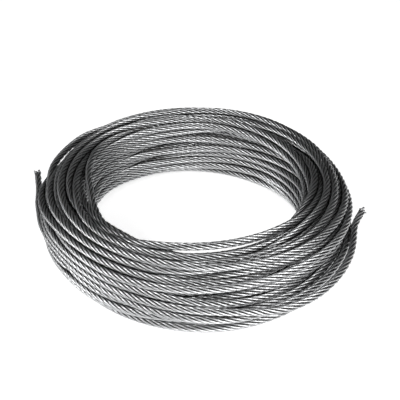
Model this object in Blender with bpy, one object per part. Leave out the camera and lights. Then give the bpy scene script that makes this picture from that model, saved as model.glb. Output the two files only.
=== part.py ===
"""Coil of bright steel wire rope lying flat, with its two free ends on the outside.

The coiled turns are one turned ring around an open bore. Its outline holds a ridge for each turn that
shows, so the turns read on the top, the bottom and both walls. One row of the outer wall is not filled by
a whole turn. The two free ends are round tubes that lie in that row and then spring away from the coil.

Units are metres, +Z is up, and the origin is on the floor in the middle of the coil.
"""

import math

import bmesh
import bpy
import numpy as np

# Rope
ROPE_DIAMETER = 0.004
RIDGE_FLAT = 0.002
CREVICE_DEPTH = 0.0012

# Coil
BORE_DIAMETER = 0.115
BUNDLE_WIDTH = 0.029
BUNDLE_HEIGHT = 0.040
TOP_OUTER_CORNER = 0.015
TOP_INNER_CORNER = 0.0075
FOOT_CORNER = 0.0098
SEGMENTS_ROUND = 48
CORNER_STEPS = 40
MERGE_DISTANCE = 0.00001
SHARP_EDGE_ANGLE = 25.0

# Free ends
FREE_ROW_HEIGHT = 0.0174
SEAT_GAP = 0.0003
ROUTE_POINT_SPACING = 0.008
ROPE_SIDES_RESOLUTION = 2
CURVE_STEPS = 40

# Each line of a route: azimuth in degrees, distance sprung out of the row, rise above the row.
LEFT_END_ROUTE = (
    (286.0, 0.0, 0.0),
    (274.0, 0.0, 0.0),
    (262.0, 0.0, 0.0),
    (250.0, 0.0, 0.0),
    (238.0, 0.0, 0.0),
    (226.0, 0.0, 0.0),
    (214.0, 0.0, 0.0),
    (202.0, 0.0, 0.0),
    (191.0, 0.0002, 0.0),
    (181.0, 0.0011, 0.0001),
    (173.5, 0.0029, 0.0004),
    (168.0, 0.0055, 0.0011),
    (163.0, 0.0097, 0.0022),
    (158.5, 0.0145, 0.0036),
)
RIGHT_END_ROUTE = (
    (-73.0, 0.0, 0.0),
    (-67.0, 0.0, 0.0),
    (-56.0, 0.0, 0.0),
    (-44.0, 0.0, 0.0),
    (-32.0, 0.0, 0.0),
    (-22.0, 0.0003, 0.0),
    (-14.5, 0.0013, 0.0002),
    (-9.3, 0.0032, 0.0007),
    (-5.0, 0.0068, 0.0018),
)

OUTER_RADIUS = BORE_DIAMETER / 2 + BUNDLE_WIDTH
STEEL_COLOUR = (0.46, 0.46, 0.47, 1.0)


def clear_scene():
    """Remove every object that is already in the file."""
    for item in list(bpy.data.objects):
        bpy.data.objects.remove(item, do_unlink=True)


def steel_material(name):
    """Bright drawn steel wire."""
    material = bpy.data.materials.new(name)
    material.use_nodes = True
    shader = material.node_tree.nodes["Principled BSDF"]
    shader.inputs["Base Color"].default_value = STEEL_COLOUR
    shader.inputs["Metallic"].default_value = 1.0
    shader.inputs["Roughness"].default_value = 0.38
    return material


def turn_centre_path():
    """Arc lengths, points and outward angles of the line through the centres of the turns that show.

    The line is the bundle's rounded outline moved in by half a rope. It starts at the free row on the
    outer wall and runs down, inwards under the bundle, up the bore wall, out over the top and down again.
    """
    half_rope = ROPE_DIAMETER / 2
    inner = BORE_DIAMETER / 2 + half_rope
    outer = OUTER_RADIUS - half_rope
    foot = half_rope
    top = BUNDLE_HEIGHT - half_rope
    largest = min(outer - inner, top - foot) / 2
    foot_radius = min(FOOT_CORNER - half_rope, largest)
    top_inner_radius = min(TOP_INNER_CORNER - half_rope, largest)
    wall_left = top - foot - foot_radius
    top_outer_radius = min(TOP_OUTER_CORNER - half_rope, 2 * largest - top_inner_radius, wall_left)
    corners = (
        (outer - foot_radius, foot + foot_radius, foot_radius, 360.0),
        (inner + foot_radius, foot + foot_radius, foot_radius, 270.0),
        (inner + top_inner_radius, top - top_inner_radius, top_inner_radius, 180.0),
        (outer - top_outer_radius, top - top_outer_radius, top_outer_radius, 90.0),
    )
    points = [(outer, FREE_ROW_HEIGHT)]
    angles = [360.0]
    for centre_x, centre_z, radius, start in corners:
        for step in range(CORNER_STEPS + 1):
            angle = start - 90.0 * step / CORNER_STEPS
            points.append((centre_x + radius * math.cos(math.radians(angle)),
                           centre_z + radius * math.sin(math.radians(angle))))
            angles.append(angle)
    points.append((outer, FREE_ROW_HEIGHT))
    angles.append(0.0)
    points = np.array(points)
    lengths = np.concatenate(([0.0], np.cumsum(np.hypot(*np.diff(points, axis=0).T))))
    return lengths, points, np.array(angles)


def visible_turns():
    """Each turn that shows, and the crevice after it, as (radius, height, outward x, outward z).

    The first is the free row's place.
    """
    lengths, points, angles = turn_centre_path()
    count = round(lengths[-1] / ROPE_DIAMETER)
    pitch = lengths[-1] / count

    def at(length):
        radius = np.interp(length, lengths, points[:, 0])
        height = np.interp(length, lengths, points[:, 1])
        angle = math.radians(np.interp(length, lengths, angles))
        return radius, height, math.cos(angle), math.sin(angle)

    return [(at(turn * pitch), at((turn + 0.5) * pitch)) for turn in range(count)]


def beside(place, out, along):
    """Point at a distance outwards from a turn's centre and a distance along the bundle's outline."""
    radius, height, out_x, out_z = place
    return radius + out_x * out + out_z * along, height + out_z * out - out_x * along


def ring_outline():
    """Closed outline of the coil's section as (radius, height).

    It has an open groove at the free row, and one ridge for each other turn that shows.
    """
    half_rope = ROPE_DIAMETER / 2
    crevice_reach = half_rope - CREVICE_DEPTH
    half_row = half_rope + SEAT_GAP
    free_row, *turns = visible_turns()
    outline = [
        beside(free_row[0], crevice_reach, -half_row),
        beside(free_row[0], -half_row, -half_row),
        beside(free_row[0], -half_row, half_row),
        beside(free_row[0], crevice_reach, half_row),
    ]
    for place, crevice in turns:
        outline.append(beside(place, half_rope, -RIDGE_FLAT / 2))
        outline.append(beside(place, half_rope, RIDGE_FLAT / 2))
        outline.append(beside(crevice, crevice_reach, 0.0))
    return outline[:-1]


def build_coil(material):
    """The coiled turns as one turned ring with its bore."""
    mesh = bpy.data.meshes.new("rope_coil")
    bm = bmesh.new()
    corners = [bm.verts.new((radius, 0.0, height)) for radius, height in ring_outline()]
    edges = [bm.edges.new((corner, corners[index - 1])) for index, corner in enumerate(corners)]
    bmesh.ops.spin(bm, geom=corners + edges, cent=(0, 0, 0), axis=(0, 0, 1), angle=2 * math.pi,
                   steps=SEGMENTS_ROUND, use_merge=True)
    bmesh.ops.remove_doubles(bm, verts=bm.verts, dist=MERGE_DISTANCE)
    bmesh.ops.recalc_face_normals(bm, faces=bm.faces)
    bm.to_mesh(mesh)
    bm.free()
    mesh.shade_smooth()
    mesh.set_sharp_from_angle(angle=math.radians(SHARP_EDGE_ANGLE))
    mesh.materials.append(material)
    coil = bpy.data.objects.new("rope_coil", mesh)
    bpy.context.collection.objects.link(coil)
    return coil


def smooth_line(points, spacing):
    """Even points on a Catmull-Rom curve through the given points."""
    points = np.array(points)
    padded = np.vstack((2 * points[0] - points[1], points, 2 * points[-1] - points[-2]))
    share = np.linspace(0.0, 1.0, CURVE_STEPS, endpoint=False)[:, None]
    fine = []
    for before, start, end, after in zip(padded, padded[1:], padded[2:], padded[3:]):
        fine.append(0.5 * (2 * start + (end - before) * share
                           + (2 * before - 5 * start + 4 * end - after) * share**2
                           + (3 * start - before - 3 * end + after) * share**3))
    fine = np.vstack(fine + [points[-1:]])
    lengths = np.concatenate(([0.0], np.cumsum(np.linalg.norm(np.diff(fine, axis=0), axis=1))))
    count = max(4, round(lengths[-1] / spacing) + 1)
    marks = np.linspace(0.0, lengths[-1], count)
    return np.column_stack([np.interp(marks, lengths, fine[:, axis]) for axis in range(3)])


def route_points(route):
    """Centreline of a free end from its azimuths, its distances out of the row and its rises."""
    points = []
    for azimuth, sprung, rise in route:
        angle = math.radians(azimuth)
        radius = OUTER_RADIUS - ROPE_DIAMETER / 2 + sprung
        points.append((radius * math.cos(angle), radius * math.sin(angle), FREE_ROW_HEIGHT + rise))
    return points


def build_free_end(name, route, material):
    """A free end of the rope as a round tube with flat ends."""
    line = smooth_line(route_points(route), ROUTE_POINT_SPACING)
    curve = bpy.data.curves.new(name, "CURVE")
    curve.dimensions = "3D"
    curve.bevel_depth = ROPE_DIAMETER / 2
    curve.bevel_resolution = ROPE_SIDES_RESOLUTION
    curve.use_fill_caps = True
    spline = curve.splines.new("POLY")
    spline.points.add(len(line) - 1)
    for point, place in zip(spline.points, line):
        point.co = (*place, 1.0)
    spline.use_smooth = True
    curve.materials.append(material)
    end = bpy.data.objects.new(name, curve)
    bpy.context.collection.objects.link(end)
    return end


def main():
    """Build the coil and its two free ends."""
    clear_scene()
    steel = steel_material("bright_steel_wire")
    build_coil(steel)
    build_free_end("left_free_end", LEFT_END_ROUTE, steel)
    build_free_end("right_free_end", RIGHT_END_ROUTE, steel)


main()
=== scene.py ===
"""Dressed scene of a coil of bright steel wire rope.

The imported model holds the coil's room: one turned ring and two free ends. Here the rope itself is wound
inside that room as one line, turn by turn, and skinned as six strands laid round a core. The turns are
pushed apart until they lie beside and on each other, so they cross and change places as hand-wound rope does.
"""

import logging
import math
from dataclasses import dataclass, field
from enum import Enum

import bpy
import numpy as np
from mathutils import Matrix, Vector
from mathutils.kdtree import KDTree


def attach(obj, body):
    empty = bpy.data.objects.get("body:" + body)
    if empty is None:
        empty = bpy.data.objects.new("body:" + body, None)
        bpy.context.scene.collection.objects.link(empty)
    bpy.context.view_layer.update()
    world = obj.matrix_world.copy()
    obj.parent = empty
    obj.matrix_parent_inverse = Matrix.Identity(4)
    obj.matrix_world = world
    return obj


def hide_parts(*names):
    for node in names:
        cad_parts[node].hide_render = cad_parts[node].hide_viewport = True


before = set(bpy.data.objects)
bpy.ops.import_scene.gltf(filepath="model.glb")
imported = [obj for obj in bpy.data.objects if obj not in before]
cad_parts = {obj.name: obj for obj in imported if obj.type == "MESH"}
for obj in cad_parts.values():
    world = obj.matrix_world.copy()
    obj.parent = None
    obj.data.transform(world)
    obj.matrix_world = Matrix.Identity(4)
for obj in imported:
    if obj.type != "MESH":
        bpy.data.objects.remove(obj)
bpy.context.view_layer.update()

BODY = "root"
LOG = logging.getLogger("wire_rope_coil")

# How the coil lies out of round, every 30 degrees from the right: how far its bore's wall and its outer wall
# lie outside their circles.
OUT_OF_ROUND = (
    (0.0000, -0.0030),
    (-0.0004, -0.0032),
    (-0.0018, 0.0020),
    (0.0010, 0.0042),
    (0.0040, 0.0038),
    (0.0040, 0.0022),
    (-0.0106, 0.0006),
    (-0.0112, -0.0054),
    (-0.0064, -0.0038),
    (-0.0030, 0.0048),
    (-0.0010, 0.0092),
    (0.0008, 0.0050),
)

# Each line of a free end's route: azimuth in degrees, distance sprung off the outer wall, rise above its row.
LEFT_END_ROUTE = (
    (286.0, 0.0, 0.0),
    (274.0, 0.0, 0.0),
    (262.0, 0.0, 0.0),
    (250.0, 0.0, 0.0),
    (238.0, 0.0, 0.0),
    (226.0, 0.0, 0.0),
    (214.0, 0.0, 0.0),
    (202.0, 0.0, 0.0),
    (191.0, 0.0001, 0.0),
    (181.0, 0.0006, 0.0001),
    (173.5, 0.0027, 0.0004),
    (168.0, 0.0046, 0.0011),
    (163.0, 0.0081, 0.0022),
    (158.5, 0.0124, 0.0036),
)
RIGHT_END_ROUTE = (
    (-73.0, 0.0, 0.0),
    (-67.0, 0.0, 0.0),
    (-56.0, 0.0, 0.0),
    (-44.0, 0.0, 0.0),
    (-32.0, 0.0, 0.0),
    (-22.0, 0.0002, 0.0),
    (-14.5, 0.0014, 0.0002),
    (-9.3, 0.0044, 0.0007),
    (-5.0, 0.0085, 0.0018),
)


class Lay(Enum):
    """Which way the strands run round the rope, seen along it."""

    RIGHT_HAND = 1
    LEFT_HAND = -1


@dataclass(frozen=True)
class RopeMake:
    """How the rope is made: strands laid round a core, each of them laid from wires."""

    diameter: float = 0.004
    lay: Lay = Lay.RIGHT_HAND
    lay_length: float = 0.026
    strands: int = 6
    strand_radius: float = 0.00062
    groove_radius: float = 0.00095
    outer_wires: int = 6
    wire_lay_length: float = 0.0105

    @property
    def strand_circle(self) -> float:
        """Radius of the circle through the strands' centres."""
        return self.diameter / 2 - self.strand_radius


@dataclass(frozen=True)
class Corner:
    """One round corner of the bundle's section: its radius, its middle's height and the way it faces."""

    radius: float
    level: float
    facing: tuple[int, int]

    def middle(self, inner: np.ndarray, outer: np.ndarray) -> np.ndarray:
        """Where the corner's middle lies between the innermost and outermost distances."""
        return inner + self.radius if self.facing[0] < 0 else outer - self.radius


@dataclass(frozen=True)
class Bundle:
    """The room that the turns fill: a rounded section, carried round the coil's axis."""

    bore_radius: float = 0.0575
    outer_radius: float = 0.0865
    height: float = 0.040
    top_outer_corner: float = 0.015
    top_inner_corner: float = 0.0075
    foot_corner: float = 0.0098

    def corners(self, margin: float) -> list[Corner]:
        """The four corners of the section, moved in by a margin.

        Args:
            margin: distance from the section's outline.

        Returns:
            The foot's inner and outer corner, then the top's inner and outer corner.
        """
        made = []
        for facing, radius in (((-1, -1), self.foot_corner), ((1, -1), self.foot_corner),
                               ((-1, 1), self.top_inner_corner), ((1, 1), self.top_outer_corner)):
            left = max(radius - margin, 0.0)
            level = margin + left if facing[1] < 0 else self.height - margin - left
            made.append(Corner(left, level, facing))
        return made

    def walls(self, azimuth: np.ndarray) -> tuple[np.ndarray, np.ndarray]:
        """Distances of the bore's wall and of the outer wall from the axis.

        Args:
            azimuth: where round the coil, in degrees.

        Returns:
            The two distances at each azimuth.
        """
        shape = np.array(OUT_OF_ROUND)
        loop = np.vstack((shape[-1:], shape, shape[:2]))
        shift = smooth_route(loop, azimuth % 360.0 * len(shape) / 360.0 + 1.0)
        return self.bore_radius + shift[:, 0], self.outer_radius + shift[:, 1]

    def nearest_inside(
        self, places: np.ndarray, margin: float, walls: tuple[np.ndarray, np.ndarray]
    ) -> np.ndarray:
        """Move places to the nearest one that lies inside the section.

        Args:
            places: distances from the axis and heights, one pair a row.
            margin: how far inside the outline they have to lie.
            walls: where the two walls lie at each place's azimuth.

        Returns:
            The places, each moved only as far as it has to be.
        """
        inner, outer = walls[0] + margin, walls[1] - margin
        inside = np.column_stack((np.clip(places[:, 0], inner, outer),
                                  np.clip(places[:, 1], margin, self.height - margin)))
        for corner in self.corners(margin):
            middle = np.column_stack((corner.middle(inner, outer), np.full(len(inner), corner.level)))
            away = inside - middle
            reach = np.linalg.norm(away, axis=1)
            past = np.all(away * np.array(corner.facing) > 0, axis=1) & (reach > corner.radius)
            share = np.where(past, corner.radius / np.maximum(reach, 1e-9), 1.0)
            inside = middle + away * share[:, None]
        return inside

    def column(self, distance: float, margin: float) -> tuple[float, float]:
        """Lowest and highest place of a turn's centre at a distance from the axis.

        Args:
            distance: the column's distance from the coil's axis.
            margin: half the rope.

        Returns:
            The two heights.
        """
        low, high = margin, self.height - margin
        inner, outer = self.bore_radius + margin, self.outer_radius - margin
        for corner in self.corners(margin):
            across = (distance - corner.middle(inner, outer)) * corner.facing[0]
            if across > 0:
                rise = math.sqrt(max(corner.radius**2 - across**2, 0.0))
                if corner.facing[1] < 0:
                    low = max(low, corner.level - rise)
                else:
                    high = min(high, corner.level + rise)
        return low, high


@dataclass(frozen=True)
class SprungTurn:
    """One turn that stands off the bundle over part of its way round, and may leave a gap under it.

    It springs most at an azimuth and comes back to the bundle a reach before and after it, in degrees. The
    way that it springs is given as outwards and upwards. Its gap has an azimuth and a reach of its own.
    """

    azimuth: float
    reach: float
    way: tuple[float, float]
    lift: float
    gap: float = 0.0
    gap_azimuth: float = 0.0
    gap_reach: float = 0.0

    def middle(self, azimuth: np.ndarray, places: np.ndarray, firm: np.ndarray) -> int:
        """Pick the turn that lies furthest the way it springs.

        Args:
            azimuth: the stations' azimuths in degrees, which run on from turn to turn.
            places: the stations' distances from the axis and heights.
            firm: how firmly the free ends' stations are held, which leaves them out.

        Returns:
            The turn's station at the azimuth where it springs most.
        """
        step = azimuth[1] - azimuth[0]
        off = np.abs((azimuth - self.azimuth + 180.0) % 360.0 - 180.0)
        # A little over half a step, so that every turn has a station there.
        near = np.nonzero((off < 0.52 * step) & (firm[:, 0] == 0.0))[0]
        return int(near[np.argmax(places[near] @ np.array(self.way))])


# The turns that stand off the bundle: along the front of the bore, at the upper left, and left in the bore.
SPRUNG_TURNS = (
    SprungTurn(282.0, 78.0, (-0.58, 0.81), 0.0015, gap=0.0004, gap_azimuth=286.0, gap_reach=62.0),
    SprungTurn(152.5, 27.0, (0.84, 0.54), 0.0025, gap=0.0010, gap_azimuth=151.5, gap_reach=14.0),
    SprungTurn(205.0, 48.0, (-0.95, 0.31), 0.0024),
)


def smooth_route(points: np.ndarray, places: np.ndarray) -> np.ndarray:
    """Read a Catmull-Rom curve through points at evenly numbered places.

    Args:
        points: the curve's own points.
        places: where to read it, 0 at the first point and 1 more at each next one.

    Returns:
        One point for each place.
    """
    padded = np.vstack((2 * points[0] - points[1], points, 2 * points[-1] - points[-2]))
    first = np.clip(places.astype(int), 0, len(points) - 2)
    share = (places - first)[:, None]
    before, start, end, after = (padded[first + step] for step in range(4))
    return 0.5 * (
        2 * start
        + (end - before) * share
        + (2 * before - 5 * start + 4 * end - after) * share**2
        + (3 * start - before - 3 * end + after) * share**3
    )


def window(azimuth: np.ndarray, middle: float, reach: float) -> np.ndarray:
    """Share of each station in what is done round an azimuth: 1 near it, falling to 0 at the reach."""
    share = np.clip(1.5 - 1.5 * np.abs(azimuth - middle) / reach, 0.0, 1.0)
    return share**2 * (3.0 - 2.0 * share)


def running_mean(values: np.ndarray, weights: np.ndarray) -> np.ndarray:
    """Spread values along the rope with a set of weights, the ends held.

    Args:
        values: one row for each station.
        weights: the share that each neighbour gives, an odd number of them.

    Returns:
        The spread values.
    """
    reach = len(weights) // 2
    padded = np.pad(values, ((reach, reach), (0, 0)), mode="edge")
    return np.column_stack([np.convolve(column, weights, mode="valid") for column in padded.T])


@dataclass(frozen=True)
class Pace:
    """How a step moves the turns: shares of the spread push, of the plain push and of the straightening."""

    spread: float
    plain: float
    straight: float


@dataclass
class Winding:
    """The rope's line from the left tip, round the coil many times, to the right tip.

    It is held as stations, evenly spaced in azimuth. A place is a station's distance from the axis and its
    height. Lengths are in metres, or in rope diameters where a comment says so, and azimuths in degrees.
    """

    rope: RopeMake
    bundle: Bundle
    full_turns: int = 55
    stations_a_turn: int = 144
    start_azimuth: float = 159.3
    end_azimuth: float = 354.2
    free_row: float = 0.0174
    columns: int = 8
    wander: float = 0.0050
    wander_azimuth: float = 75.0
    spread_azimuth: float = 13.0
    stiff_azimuth: float = 7.0
    release_azimuth: float = 30.0
    route_detail: int = 40
    line_detail: int = 6
    seed: int = 7

    # Settling: how many steps, how thin the rope starts, and after which share of the steps it has its full
    # size, its turns spring off the bundle, and it settles calmly.
    settling_steps: int = 400
    thin: float = 0.5
    grown_after: float = 0.6
    spring_after: float = 0.65
    calm_after: float = 0.9
    brisk: Pace = Pace(1.3, 0.0, 0.8)
    calm: Pace = Pace(0.5, 0.35, 0.4)
    steps_a_search: int = 10

    # In rope diameters: how far neighbours are looked for, how far below a sprung turn its neighbours may lie
    # beside its gap, and how deep into the bundle turns follow it.
    search_reach: float = 1.6
    slack: float = 2.5
    follow_depth: float = 3.0

    # The share of its way to a sprung turn that a following turn goes in a step, and how much faster than its
    # lift a sprung turn's hold grows along it.
    follow_share: float = 0.2
    hold_growth: float = 3.0

    azimuth: np.ndarray = field(init=False)
    places: np.ndarray = field(init=False)
    walls: tuple[np.ndarray, np.ndarray] = field(init=False)

    def __post_init__(self) -> None:
        """Set out the stations and lay the turns in their rows."""
        sweep = self.full_turns * 360.0 + self.end_azimuth - self.start_azimuth
        step = 360.0 / self.stations_a_turn
        self.azimuth = self.start_azimuth + step * np.arange(round(sweep / step) + 1)
        rows = self.rows()
        neat = smooth_route(rows, np.linspace(0.0, len(rows) - 1.0, len(self.azimuth)))
        inner, outer = self.walls = self.bundle.walls(self.azimuth)
        across = (neat[:, 0] - self.bundle.bore_radius) / (self.bundle.outer_radius - self.bundle.bore_radius)
        self.places = np.column_stack((inner + across * (outer - inner), neat[:, 1]))

    def rows(self) -> np.ndarray:
        """Work out where each turn would lie if it were wound neatly, column by column.

        Returns:
            One place for each turn, from the left end's row to the right end's.
        """
        half = self.rope.diameter / 2
        distances = np.linspace(self.bundle.bore_radius + half, self.bundle.outer_radius - half, self.columns)
        made = []
        for down, distance in zip(self.back_and_forth(True), distances[::-1]):
            low, _ = self.bundle.column(distance, half)
            count = max(1, round((self.free_row - low) / self.rope.diameter) + 1)
            heights = np.linspace(self.free_row, low, count)
            made += [(distance, height) for height in (heights if down else heights[::-1])]
        for down, distance in zip(self.back_and_forth(False), distances):
            _, high = self.bundle.column(distance, half)
            lowest = self.free_row + self.rope.diameter
            count = max(1, round((high - lowest) / self.rope.diameter) + 1)
            heights = np.linspace(lowest, high, count)
            made += [(distance, height) for height in (heights[::-1] if down else heights)]
        return np.array(made)

    def back_and_forth(self, first: bool) -> list[bool]:
        """True and False in turn, one for each column."""
        return [first if index % 2 == 0 else not first for index in range(self.columns)]

    def drift(self) -> np.ndarray:
        """Wander out of the rows smoothly, by seeded chance.

        Returns:
            How far each station moves outwards and upwards.
        """
        chance = np.random.default_rng(self.seed)
        knots = int((self.azimuth[-1] - self.azimuth[0]) / self.wander_azimuth) + 3
        values = chance.normal(0.0, self.wander, (knots, 2))
        return smooth_route(values, (self.azimuth - self.azimuth[0]) / self.wander_azimuth)

    def route_places(self, route: tuple, azimuth: np.ndarray) -> np.ndarray:
        """Place a free end on its route.

        Args:
            route: its lines of azimuth, distance off the outer wall and rise above its row.
            azimuth: where it is read.

        Returns:
            One place for each azimuth.
        """
        order = np.array(sorted(route))
        fine = smooth_route(order, np.linspace(0.0, len(order) - 1.0, self.route_detail * len(order)))
        outer = self.bundle.walls(azimuth)[1] - self.rope.diameter / 2
        distance = outer + np.interp(azimuth, fine[:, 0], fine[:, 1])
        height = self.free_row + np.interp(azimuth, fine[:, 0], fine[:, 2])
        return np.column_stack((distance, height))

    def neighbours(self, reach: float) -> tuple[np.ndarray, np.ndarray]:
        """Find the pairs of stations at the same azimuth that are nearer than a reach.

        Args:
            reach: the distance.

        Returns:
            The numbers of each pair's first station and of its second.
        """
        turns = -(-len(self.azimuth) // self.stations_a_turn)
        grid = np.full((turns * self.stations_a_turn, 2), np.nan)
        grid[: len(self.places)] = self.places
        grid = grid.reshape(turns, self.stations_a_turn, 2)
        firsts, seconds = [], []
        for gap in range(1, turns):
            apart = grid[gap:] - grid[:-gap]
            near = np.nonzero(np.sum(apart**2, axis=2) < reach**2)
            firsts.append(near[0] * self.stations_a_turn + near[1])
            seconds.append((near[0] + gap) * self.stations_a_turn + near[1])
        return np.concatenate(firsts), np.concatenate(seconds)

    def weights(self, azimuth: float) -> np.ndarray:
        """Make bell-shaped weights that spread a value along the rope.

        Args:
            azimuth: the bell's width.

        Returns:
            The weights, an odd number of them that sums to 1.
        """
        step = 360.0 / self.stations_a_turn
        reach = round(3 * azimuth / step)
        bell = np.exp(-0.5 * (np.arange(-reach, reach + 1) * step / azimuth) ** 2)
        return bell / bell.sum()

    def held(self) -> tuple[np.ndarray, np.ndarray]:
        """The free ends' places, and how firmly each station is held to its own.

        Returns:
            One share a station, 1 along a free end and falling to 0 inside the coil, and the places.
        """
        from_left = self.azimuth
        from_right = self.azimuth - 360.0 * (self.full_turns + 1)
        left_seat, right_seat = LEFT_END_ROUTE[0][0], RIGHT_END_ROUTE[0][0]
        places = self.places.copy()
        left, right = from_left < left_seat, from_right > right_seat
        places[left] = self.route_places(LEFT_END_ROUTE, from_left[left])
        places[right] = self.route_places(RIGHT_END_ROUTE, from_right[right])
        firm = np.clip((left_seat - from_left) / self.release_azimuth, 0.0, 1.0)
        firm += np.clip((from_right - right_seat) / self.release_azimuth, 0.0, 1.0)
        return firm[:, None], places

    def push(self, pairs: tuple[np.ndarray, np.ndarray], reach: float) -> np.ndarray:
        """How far each station is pushed by the turns that it overlaps and by the bundle's outline.

        Args:
            pairs: the neighbouring stations.
            reach: how far apart the turns' centres have to be.

        Returns:
            The moves, one pair a station.
        """
        first, second = pairs
        apart = self.places[first] - self.places[second]
        distance = np.sqrt(np.sum(apart**2, axis=1)) + 1e-9
        apart *= (np.clip(reach - distance, 0.0, None) / distance / 2)[:, None]
        count = len(self.places)
        move = np.column_stack([np.bincount(first, apart[:, axis], count)
                                - np.bincount(second, apart[:, axis], count) for axis in range(2)])
        inside = self.bundle.nearest_inside(self.places + move, self.rope.diameter / 2, self.walls)
        return inside - self.places

    def press(self, turn: SprungTurn, middle: int, firm: np.ndarray) -> None:
        """Press the other turns down until a sprung turn stands clear of them, and draw them up to that gap.

        Args:
            turn: the sprung turn.
            middle: its middle station.
            firm: how firmly each station is held.
        """
        numbers = np.arange(len(self.azimuth))
        half = self.stations_a_turn // 2
        beside = np.clip(middle + (numbers - middle + half) % self.stations_a_turn - half, 0, numbers[-1])
        itself = beside == numbers
        way, slack = np.array(turn.way), self.slack * self.rope.diameter
        along = self.places @ way
        lifted = window(self.azimuth, self.azimuth[middle], turn.reach)[beside]
        gap_middle = self.azimuth[middle] + turn.gap_azimuth - turn.azimuth
        opened = window(self.azimuth, gap_middle, turn.gap_reach)[beside]
        free = self.rope.diameter + turn.gap * opened
        past = np.where(itself, -1.0, along - along[beside] + free)
        highest = np.full(self.stations_a_turn, -1.0)
        np.maximum.at(highest, numbers % self.stations_a_turn, past)
        highest = highest[numbers % self.stations_a_turn]
        depth = np.clip(1.0 - (highest - past) / (self.follow_depth * self.rope.diameter), 0.0, 1.0)
        drawn = self.follow_share * lifted**2 * np.clip(-highest, 0.0, None) * depth
        pressed = np.where(opened > 0.0, np.clip(past - (1.0 - opened) * (free + slack), 0.0, None), 0.0)
        move = np.where(itself, 0.0, drawn - pressed)
        self.places += (1.0 - firm) * move[:, None] * way

    def spring(
        self, firm: np.ndarray, ends: np.ndarray
    ) -> tuple[np.ndarray, np.ndarray, list[tuple[SprungTurn, int]]]:
        """Pick the turns that spring off the bundle, and hold each a little off its place.

        Args:
            firm: how firmly each station is held so far.
            ends: the places that the held stations are held to.

        Returns:
            The new shares and places, and the turns that leave a gap, each with its middle station.
        """
        free_ends, lifts, gapped = firm, 0.0, []
        for turn in SPRUNG_TURNS:
            middle = turn.middle(self.azimuth, self.places, free_ends)
            share = window(self.azimuth, self.azimuth[middle], turn.reach)[:, None]
            hold = np.clip(self.hold_growth * share, 0.0, 1.0)
            ends = np.where(hold > firm, self.places, ends)
            firm = np.maximum(firm, hold)
            lifts = lifts + turn.lift * share * np.array(turn.way)
            if turn.gap:
                gapped.append((turn, middle))
        return firm, ends + lifts, gapped

    def settle(self) -> None:
        """Push the turns apart until they lie beside and on each other inside the bundle.

        The rope starts thin and grows to its size, so that crossing turns find a way past each other. Pushes
        are spread along the rope and its bends are evened out, as its stiffness does.
        """
        firm, ends = self.held()
        gapped = []
        spread, straight = self.weights(self.spread_azimuth), self.weights(self.stiff_azimuth)
        self.places = self.places + self.drift() * np.clip(1.0 - firm, 0.0, 1.0)
        for step in range(self.settling_steps):
            done = step / self.settling_steps
            if step == round(self.spring_after * self.settling_steps):
                firm, ends, gapped = self.spring(firm, ends)
            if step % self.steps_a_search == 0:
                pairs = self.neighbours(self.search_reach * self.rope.diameter)
            grown = min(1.0, self.thin + (1.0 - self.thin) * done / self.grown_after)
            move = self.push(pairs, self.rope.diameter * grown)
            pace = self.brisk if done < self.calm_after else self.calm
            self.places += pace.spread * running_mean(move, spread) + pace.plain * move
            self.places += pace.straight * (running_mean(self.places, straight) - self.places)
            for turn, middle in gapped:
                self.press(turn, middle, firm)
            self.places += firm * (ends - self.places)
            self.places = np.round(self.places, 9)

    def line(self, spacing: float) -> np.ndarray:
        """The rope's centreline as even points in the coil's frame.

        Args:
            spacing: distance from one point to the next along the rope.

        Returns:
            The points in metres, one a row.
        """
        azimuth = np.radians(self.azimuth)
        distance, height = self.places.T
        points = np.column_stack((distance * np.cos(azimuth), distance * np.sin(azimuth), height))
        fine = smooth_route(points, np.linspace(0.0, len(points) - 1.0, self.line_detail * len(points)))
        lengths = np.concatenate(([0.0], np.cumsum(np.linalg.norm(np.diff(fine, axis=0), axis=1))))
        marks = np.linspace(0.0, lengths[-1], round(lengths[-1] / spacing) + 1)
        return np.column_stack([np.interp(marks, lengths, fine[:, axis]) for axis in range(3)])


def linear(hex_colour: str) -> tuple[float, float, float, float]:
    """Turn a colour as sRGB hex, such as "9fa1a2", to linear values with an alpha of 1."""
    channels = []
    for start in (0, 2, 4):
        value = int(hex_colour[start : start + 2], 16) / 255
        channels.append(value / 12.92 if value <= 0.04045 else ((value + 0.055) / 1.055) ** 2.4)
    return (*channels, 1.0)


def add_node(
    tree: bpy.types.NodeTree, kind: str, settings: dict | None = None, **links: object
) -> bpy.types.Node:
    """Add one node to a material with its settings and links.

    Args:
        tree: the material's node tree.
        kind: the node's type name.
        settings: the node's own properties, and input values under a number or an input's name.
        links: for each input's name, with _ for a space, the output that feeds it.

    Returns:
        The new node.
    """
    node = tree.nodes.new(kind)
    for name, value in (settings or {}).items():
        if isinstance(name, int) or name in node.inputs:
            node.inputs[name].default_value = value
        else:
            setattr(node, name, value)
    for name, source in links.items():
        key = int(name[1:]) if name[0] == "i" and name[1:].isdigit() else name.replace("_", " ")
        tree.links.new(source, node.inputs[key])
    return node


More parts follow.
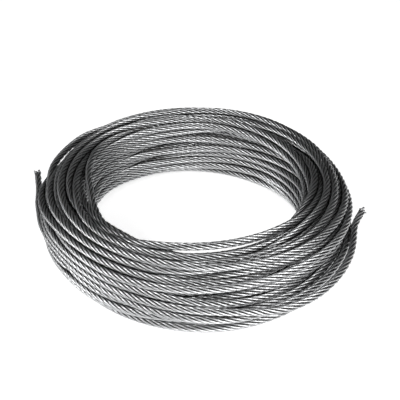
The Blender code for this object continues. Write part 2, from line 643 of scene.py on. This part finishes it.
@dataclass(frozen=True)
class BrightSteelWire:
    """Bright drawn carbon steel wire with a thin zinc coat, stranded and then laid into a rope.

    Drawing leaves it a smooth neutral grey metal whose highlights are soft and run along the strands. The
    zinc dulls in patches of about 11 mm. Painted shade darkens its colour in the grooves between the strands
    and in the crevices between turns. Each strand shows its six outer wires, 0.4 mm thick, as low ridges.
    """

    name: str = "bright_steel_wire"
    clean: str = "c9cacb"
    worn: str = "a9aaab"
    # Painted shade: the near black that the grooves and crevices are darkened towards.
    painted_shade_colour: str = "211f1d"
    roughness: float = 0.38
    patches_a_metre: float = 90.0
    wire_height: float = 0.00006
    wire_strength: float = 0.6
    # Painted shade: where a groove's darkening starts and ends, where a crevice's starts and ends, and how
    # dark a crevice gets at most.
    groove_shade_edge: tuple[float, float] = (0.15, 0.28)
    crevice_shade_edge: tuple[float, float] = (0.30, 0.85)
    crevice_shade_darkness: float = 0.92

    def material(self, rope: RopeMake) -> bpy.types.Material:
        """Make the material.

        Args:
            rope: the rope's make, for the wires in a strand.

        Returns:
            The material. It reads the rope's own map, whose first value counts strands round the rope and
            whose second counts wire lays along it.
        """
        material = bpy.data.materials.new(self.name)
        material.use_nodes = True
        tree = material.node_tree
        shader = tree.nodes["Principled BSDF"]
        surface = add_node(tree, "ShaderNodeUVMap", {"uv_map": RopeSkin.MAP})
        split = add_node(tree, "ShaderNodeSeparateXYZ", Vector=surface.outputs[0])
        together = add_node(tree, "ShaderNodeMath", {"operation": "ADD"},
                            i0=split.outputs[0], i1=split.outputs[1])
        wires = add_node(tree, "ShaderNodeMath", {"operation": "MULTIPLY", 1: math.pi * rope.outer_wires},
                         i0=together.outputs[0])
        wave = add_node(tree, "ShaderNodeMath", {"operation": "SINE"}, i0=wires.outputs[0])
        ridge = add_node(tree, "ShaderNodeMath", {"operation": "ABSOLUTE"}, i0=wave.outputs[0])
        bump = add_node(tree, "ShaderNodeBump",
                        {"Strength": self.wire_strength, "Distance": self.wire_height},
                        Height=ridge.outputs[0])
        tree.links.new(bump.outputs[0], shader.inputs["Normal"])
        place = add_node(tree, "ShaderNodeTexCoord")
        patches = add_node(tree, "ShaderNodeTexNoise", {"Scale": self.patches_a_metre, "Detail": 3.0},
                           Vector=place.outputs["Object"])
        shade = add_node(tree, "ShaderNodeMix",
                         {"data_type": "RGBA", 6: linear(self.clean), 7: linear(self.worn)},
                         i0=patches.outputs[0])
        # Painted shade in the grooves between strands: the further a point lies from its strand's crown, the
        # darker.
        nearest = add_node(tree, "ShaderNodeMath", {"operation": "ROUND"}, i0=split.outputs[0])
        across = add_node(tree, "ShaderNodeMath", {"operation": "SUBTRACT"},
                          i0=split.outputs[0], i1=nearest.outputs[0])
        aside = add_node(tree, "ShaderNodeMath", {"operation": "ABSOLUTE"}, i0=across.outputs[0])
        groove_shade = add_node(tree, "ShaderNodeMapRange",
                          {"From Min": self.groove_shade_edge[0], "From Max": self.groove_shade_edge[1]},
                          Value=aside.outputs[0])
        # Painted shade in the crevices between turns, from each point's depth in them.
        beside = add_node(tree, "ShaderNodeAttribute", {"attribute_name": RopeSkin.CREVICE})
        crevice_shade = add_node(tree, "ShaderNodeMapRange",
                           {"From Min": self.crevice_shade_edge[0], "From Max": self.crevice_shade_edge[1],
                            "To Max": self.crevice_shade_darkness}, Value=beside.outputs["Fac"])
        # The deeper of the two painted shades darkens the steel's colour towards near black.
        painted_shade_mask = add_node(tree, "ShaderNodeMath", {"operation": "MAXIMUM"},
                        i0=groove_shade.outputs[0], i1=crevice_shade.outputs[0])
        painted_shade_mix = add_node(tree, "ShaderNodeMix", {"data_type": "RGBA", 7: linear(self.painted_shade_colour)},
                          i0=painted_shade_mask.outputs[0], i6=shade.outputs[2])
        tree.links.new(painted_shade_mix.outputs[2], shader.inputs["Base Color"])
        shader.inputs["Metallic"].default_value = 1.0
        shader.inputs["Roughness"].default_value = self.roughness
        return material


@dataclass
class RopeSkin:
    """The rope's surface: six round strands laid round the line, as closed tubes of one stretch each.

    Each strand's points stand at angles round the rope, in degrees from its middle. A crevice reaches as far
    from the next turn's line as crevice_reach. It is looked for among the nearest points of the line, where
    those within own_rings are the turn's own.
    """

    rope: RopeMake
    rings_a_lay: int = 10
    strand_angles: tuple[float, ...] = (-30.0, -24.0, -9.0, 9.0, 24.0)
    crevice_reach: float = 0.0033
    crevice_search: int = 26
    own_rings: int = 20

    MAP = "RopeSurface"
    CREVICE = "Crevice"

    @property
    def ring_spacing(self) -> float:
        """Distance from one ring of points to the next along the rope."""
        return self.rope.lay_length / self.rings_a_lay

    def outline(self) -> tuple[np.ndarray, np.ndarray, np.ndarray]:
        """One ring's points.

        Returns:
            Their angles round the rope, their distances from its line, and their angles round their strand,
            in turns.
        """
        circle, radius = self.rope.strand_circle, self.rope.strand_radius
        swing = np.radians(self.strand_angles)
        rise = np.sqrt(np.maximum(radius**2 - (circle * np.sin(swing)) ** 2, 0.0))
        distance = circle * np.cos(swing) + rise
        distance[0] = self.rope.groove_radius
        around = np.arctan2(distance * np.sin(swing), distance * np.cos(swing) - circle)
        strands = self.rope.strands
        angles = [swing + math.tau * strand / strands for strand in range(strands)]
        return np.concatenate(angles), np.tile(distance, strands), np.tile(around / math.tau, strands)

    def stretch(self, name: str, line: np.ndarray, start: int, stop: int) -> bpy.types.Object:
        """Skin one stretch of the rope.

        Args:
            name: the piece's name.
            line: the whole rope's points, ring_spacing apart.
            start: the stretch's first ring.
            stop: its last ring.

        Returns:
            The closed tube as a mesh object.
        """
        tangent = np.gradient(line, axis=0)[start : stop + 1]
        tangent /= np.linalg.norm(tangent, axis=1)[:, None]
        centres = line[start : stop + 1]
        outwards = np.cross(tangent, (0.0, 0.0, 1.0))
        outwards /= np.linalg.norm(outwards, axis=1)[:, None]
        across = np.cross(tangent, outwards)
        rings = np.arange(start, stop + 1)
        twist = self.rope.lay.value * math.tau * rings / self.rings_a_lay
        angles, distances, around = self.outline()
        turned = twist[:, None] + angles[None, :]
        points = centres[:, None] + distances[None, :, None] * (
            np.cos(turned)[..., None] * outwards[:, None] + np.sin(turned)[..., None] * across[:, None]
        )
        each = len(self.strand_angles)
        strand = np.repeat(np.arange(self.rope.strands), each)
        here = strand + around
        beyond = np.roll(here, -1)
        beyond[each - 1 :: each] = np.arange(self.rope.strands) - around[0]
        along = rings * self.ring_spacing / self.rope.wire_lay_length
        piece = self.tube(name, points, centres[[0, -1]], np.stack((here, beyond)), along)
        # Each point's depth in the crevice between turns, which the steel's painted shade reads.
        deep = np.zeros(len(piece.data.vertices), dtype=np.float32)
        deep[: points.shape[0] * points.shape[1]] = self.crevices(points, line, start).ravel()
        piece.data.attributes.new(self.CREVICE, "FLOAT", "POINT").data.foreach_set("value", deep)
        return piece

    def crevices(self, points: np.ndarray, line: np.ndarray, start: int) -> np.ndarray:
        """Find how deep the surface lies in the crevices between turns, where shade is painted into the
        steel's colour.

        Args:
            points: the rings' points, ring by ring.
            line: the whole rope's points.
            start: the first ring's number along the line.

        Returns:
            For each point 0 in the open, rising to 1 where it touches the turn beside it.
        """
        tree = KDTree(len(line))
        for number, place in enumerate(line):
            tree.insert(place, number)
        tree.balance()
        tangent = np.gradient(line, axis=0)
        tangent /= np.linalg.norm(tangent, axis=1)[:, None]
        rings = start + np.arange(len(points))
        nearest = [tree.find_n(line[ring], self.crevice_search) for ring in rings]
        beside = np.array([[found[1] for found in places] for places in nearest])
        beside = np.where(np.abs(beside - rings[:, None]) < self.own_rings, -1, beside)
        deep = np.zeros(points.shape[:2])
        for other in beside.T:
            away = points - line[other][:, None]
            reach = np.einsum("rpk,rk->rp", away, tangent[other])
            apart = np.linalg.norm(away - reach[..., None] * tangent[other][:, None], axis=2)
            share = (self.crevice_reach - apart) / (self.crevice_reach - self.rope.diameter / 2)
            deep = np.where(other[:, None] < 0, deep, np.maximum(deep, share))
        return np.clip(deep, 0.0, 1.0)

    def tube(
        self, name: str, points: np.ndarray, ends: np.ndarray, around: np.ndarray, along: np.ndarray
    ) -> bpy.types.Object:
        """Join rings of points into a closed tube with the rope's map.

        Args:
            name: the piece's name.
            points: the rings' points, ring by ring.
            ends: the middle of the first end and of the last.
            around: the map's first value where each side starts, and where it stops.
            along: the map's second value at each ring.

        Returns:
            The tube as a mesh object.
        """
        count, sides = points.shape[:2]
        grids = np.meshgrid(np.arange(count - 1), np.arange(sides), indexing="ij")
        ring, side = (grid.ravel() for grid in grids)
        following = (side + 1) % sides
        quads = np.column_stack((ring * sides + side, ring * sides + following,
                                 (ring + 1) * sides + following, (ring + 1) * sides + side))
        turn = np.arange(sides)
        last = (count - 1) * sides
        first_cap = np.column_stack(((turn + 1) % sides, turn, np.full(sides, count * sides)))
        last_cap = np.column_stack((last + turn, last + (turn + 1) % sides,
                                    np.full(sides, count * sides + 1)))
        mesh = bpy.data.meshes.new(name)
        mesh.from_pydata(np.vstack((points.reshape(-1, 3), ends)).tolist(), [],
                         quads.tolist() + first_cap.tolist() + last_cap.tolist())
        corners = np.stack((around[0, side], along[ring], around[1, side], along[ring],
                            around[1, side], along[ring + 1], around[0, side], along[ring + 1]), axis=-1)
        values = np.zeros(2 * len(mesh.loops), dtype=np.float32)
        values[: corners.size] = corners.ravel()
        mesh.uv_layers.new(name=self.MAP).data.foreach_set("uv", values)
        mesh.shade_smooth()
        mesh.update()
        piece = bpy.data.objects.new(name, mesh)
        bpy.context.collection.objects.link(piece)
        return piece


@dataclass(frozen=True)
class CutEnd:
    """Where the rope was cut off: its strands reach a little past the laid rope and spring apart.

    Lengths and flares run round the rope, from the strand that faces away from the coil down and on round.
    The shares are of a strand's radius: along the strand, at its cut edge, and for the crown of the cut.
    """

    name: str
    lengths: tuple[float, ...]
    flares: tuple[float, ...]
    core_radius: float = 0.00075
    core_length: float = 0.0006
    root: float = 0.0006
    flare_curve: float = 1.5
    laid_share: float = 0.98
    cut_share: float = 0.8
    crown_share: float = 0.12
    sides: int = 12
    steps: int = 7

    def build(self, skin: RopeSkin, line: np.ndarray, ring: int) -> bpy.types.Object:
        """Model the strands past one end of the rope.

        Args:
            skin: the rope's skin, whose lay the strands go on with.
            line: the whole rope's points.
            ring: the first ring, 0, or the last one.

        Returns:
            The strands' ends as one mesh object.
        """
        rope = skin.rope
        onwards = -1.0 if ring == 0 else 1.0
        tangent = line[1] - line[0] if ring == 0 else line[-1] - line[-2]
        tangent = tangent / np.linalg.norm(tangent)
        outwards = np.cross(tangent, (0.0, 0.0, 1.0))
        outwards /= np.linalg.norm(outwards)
        across = np.cross(tangent, outwards)
        made = []
        for strand in range(rope.strands + 1):
            core = strand == rope.strands
            start = rope.lay.value * math.tau * ring / skin.rings_a_lay + math.tau * strand / rope.strands
            place = round(start % math.tau / math.tau * rope.strands) % rope.strands
            length = self.core_length if core else self.lengths[place]
            reach = np.linspace(-self.root, length, self.steps)
            share = np.clip(reach / length, 0.0, 1.0)
            angle = start + rope.lay.value * onwards * math.tau * reach / rope.lay_length
            away = 0.0 if core else rope.strand_circle + self.flares[place] * share**self.flare_curve
            radial = np.cos(angle)[:, None] * outwards + np.sin(angle)[:, None] * across
            centres = line[ring] + onwards * reach[:, None] * tangent + (away * radial.T).T
            thickness = self.core_radius if core else rope.strand_radius
            rounding = np.where(np.arange(self.steps) == self.steps - 1, self.cut_share, self.laid_share)
            along = np.gradient(centres, axis=0)
            along /= np.linalg.norm(along, axis=1)[:, None]
            sideways = np.cross(along, radial)
            turn = np.linspace(-math.pi, math.pi, self.sides, endpoint=False)
            points = centres[:, None] + thickness * rounding[:, None, None] * (
                np.cos(turn)[None, :, None] * radial[:, None]
                + np.sin(turn)[None, :, None] * sideways[:, None]
            )
            ends = centres[[0, -1]] + along[-1] * np.array(((0.0,), (self.crown_share * thickness,)))
            around = strand + np.stack((turn, turn + math.tau / self.sides)) / math.tau
            made.append(skin.tube(self.name, points, ends, around, reach / rope.wire_lay_length))
        bpy.ops.object.select_all(action="DESELECT")
        for piece in made:
            piece.select_set(True)
        bpy.context.view_layer.objects.active = made[0]
        bpy.ops.object.join()
        made[0].name = self.name
        return made[0]


@dataclass
class WoundRope:
    """The coil of rope: its winding, its skin and its finish."""

    rope: RopeMake
    winding: Winding
    skin: RopeSkin
    finish: BrightSteelWire
    stretches: int = 4
    left_cut: CutEnd = CutEnd("left_cut_end", (0.0017, 0.0009, 0.0009, 0.0014, 0.0015, 0.0003),
                              (0.0006, 0.0002, 0.0001, 0.0003, 0.0001, 0.0001))
    right_cut: CutEnd = CutEnd("right_cut_end", (0.0010, 0.0004, 0.0010, 0.0013, 0.0020, 0.0005),
                               (0.0006, 0.0002, 0.0001, 0.0003, 0.0002, 0.0001))

    def build(self) -> list[bpy.types.Object]:
        """Wind and skin the rope, and attach each stretch to the body.

        Returns:
            The stretches in order from the left tip to the right tip.
        """
        self.winding.settle()
        line = self.winding.line(self.skin.ring_spacing)
        length = (len(line) - 1) * self.skin.ring_spacing
        LOG.info("rope: %.2f m in %d turns", length, self.winding.full_turns)
        steel = self.finish.material(self.rope)
        cuts = np.linspace(0, len(line) - 1, self.stretches + 1).round().astype(int)
        tips = {1: self.left_cut.build(self.skin, line, 0),
                self.stretches: self.right_cut.build(self.skin, line, len(line) - 1)}
        made = []
        for number, (start, stop) in enumerate(zip(cuts, cuts[1:]), 1):
            piece = self.skin.stretch(f"rope_stretch_{number}", line, start, stop)
            tip = [tips[number]] if number in tips else []
            for part in [piece, *tip]:
                part.data.materials.append(steel)
                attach(part, BODY)
                LOG.info("%s: %d faces", part.name, len(part.data.polygons))
            made.append(piece)
        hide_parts("rope_coil", "left_free_end")
        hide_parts("right_free_end")
        return made


@dataclass(frozen=True)
class PalePaper:
    """Matt white background paper: it scatters all light, so it is an even white with a faint soft shadow."""

    name: str = "pale_floor"
    colour: str = "f4f4f4"
    roughness: float = 0.7
    glow: float = 0.46

    def material(self) -> bpy.types.Material:
        """Make the material.

        Returns:
            The material, which glows a little as paper does in a fully lit tent.
        """
        material = bpy.data.materials.new(self.name)
        material.use_nodes = True
        shader = material.node_tree.nodes["Principled BSDF"]
        shader.inputs["Base Color"].default_value = linear(self.colour)
        shader.inputs["Roughness"].default_value = self.roughness
        shader.inputs["Emission Color"].default_value = linear("ffffff")
        shader.inputs["Emission Strength"].default_value = self.glow
        return material


@dataclass(frozen=True)
class Softbox:
    """One soft light: its middle, its width and height, and its glow, where 1 is the picture's full white."""

    name: str
    place: tuple[float, float, float]
    size: tuple[float, float]
    glow: float

    def hang(self, target: tuple[float, float, float]) -> None:
        """Hang the light so that it faces a point.

        Args:
            target: the point.
        """
        light = bpy.data.lights.new(self.name, "AREA")
        light.shape = "RECTANGLE"
        light.size, light.size_y = self.size
        light.energy = self.glow * math.pi * self.size[0] * self.size[1]
        lamp = bpy.data.objects.new(self.name, light)
        bpy.context.scene.collection.objects.link(lamp)
        turn = (Vector(target) - Vector(self.place)).to_track_quat("-Z", "Y").to_matrix().to_4x4()
        lamp.matrix_world = Matrix.Translation(self.place) @ turn


@dataclass
class Studio:
    """A camera, a pale floor and soft light.

    The camera's focal length and the picture's middle are in pixels of the photograph, its angles in degrees.
    """

    elevation: float = 34.5
    distance: float = 0.4396
    focal_pixels: float = 801.0
    image_side: float = 400.0
    sensor_width: float = 36.0
    middle: tuple[float, float] = (195.35, 204.1)
    roll: float = 1.25
    target: tuple[float, float, float] = (0.0, 0.0, 0.0203)
    floor_radius: float = 0.48
    dim_light: float = 0.03
    paper: PalePaper = PalePaper()
    softboxes: tuple[Softbox, ...] = (
        Softbox("overhead_softbox", (-0.1, -0.25, 0.8), (1.0, 0.6), 1.0),
        Softbox("right_front_softbox", (0.5, -0.78, 0.46), (0.7, 0.9), 7.4),
        Softbox("left_front_softbox", (-0.74, -0.42, 0.62), (0.55, 0.5), 9.9),
    )

    def camera(self) -> None:
        """Place the camera at the photograph's viewing angle."""
        lens = bpy.data.cameras.new("camera")
        lens.sensor_width = self.sensor_width
        lens.lens = self.sensor_width * self.focal_pixels / self.image_side
        lens.shift_x = (self.image_side / 2 - self.middle[0]) / self.image_side
        lens.shift_y = (self.middle[1] - self.image_side / 2) / self.image_side
        lens.clip_start = 0.01
        camera = bpy.data.objects.new("camera", lens)
        bpy.context.scene.collection.objects.link(camera)
        lift = math.radians(self.elevation)
        towards = Vector((0.0, math.cos(lift), -math.sin(lift)))
        turn = towards.to_track_quat("-Z", "Y").to_matrix().to_4x4()
        spin = Matrix.Rotation(math.radians(-self.roll), 4, "Z")
        place = Matrix.Translation(Vector(self.target) - towards * self.distance)
        camera.matrix_world = place @ turn @ spin
        bpy.context.scene.camera = camera

    def floor(self) -> None:
        """Lay the pale floor."""
        bpy.ops.object.select_all(action="DESELECT")
        bpy.ops.mesh.primitive_circle_add(vertices=96, radius=self.floor_radius, fill_type="NGON")
        floor = bpy.context.object
        floor.name = "floor"
        floor.data.materials.append(self.paper.material())

    def surroundings(self) -> None:
        """Make the room a dim even grey for the steel, and white to the camera."""
        world = bpy.data.worlds.new("studio")
        world.use_nodes = True
        tree = world.node_tree
        dim = tree.nodes["Background"]
        dim.inputs["Color"].default_value = (1.0, 1.0, 1.0, 1.0)
        dim.inputs["Strength"].default_value = self.dim_light
        white = add_node(tree, "ShaderNodeBackground", {"Color": (1.0, 1.0, 1.0, 1.0), "Strength": 1.0})
        ray = add_node(tree, "ShaderNodeLightPath")
        seen = add_node(tree, "ShaderNodeMixShader", i0=ray.outputs["Is Camera Ray"], i1=dim.outputs[0],
                        i2=white.outputs[0])
        tree.links.new(seen.outputs[0], tree.nodes["World Output"].inputs["Surface"])
        bpy.context.scene.world = world

    def build(self) -> None:
        """Lay the floor, hang the lights and set the surroundings; the camera is placed before the rope."""
        self.floor()
        for softbox in self.softboxes:
            softbox.hang(self.target)
            LOG.info("%s: %.2f by %.2f m", softbox.name, *softbox.size)
        self.surroundings()
        bpy.context.scene.view_settings.view_transform = "Standard"


def main() -> None:
    """Build the camera, the rope and the studio in order."""
    logging.basicConfig(level=logging.INFO, format="%(name)s: %(message)s")
    studio = Studio()
    studio.camera()
    rope = RopeMake()
    bundle = Bundle()
    winding = Winding(rope, bundle)
    wound = WoundRope(rope, winding, RopeSkin(rope), BrightSteelWire())
    wound.build()
    studio.build()


if __name__ == "__main__":
    main()
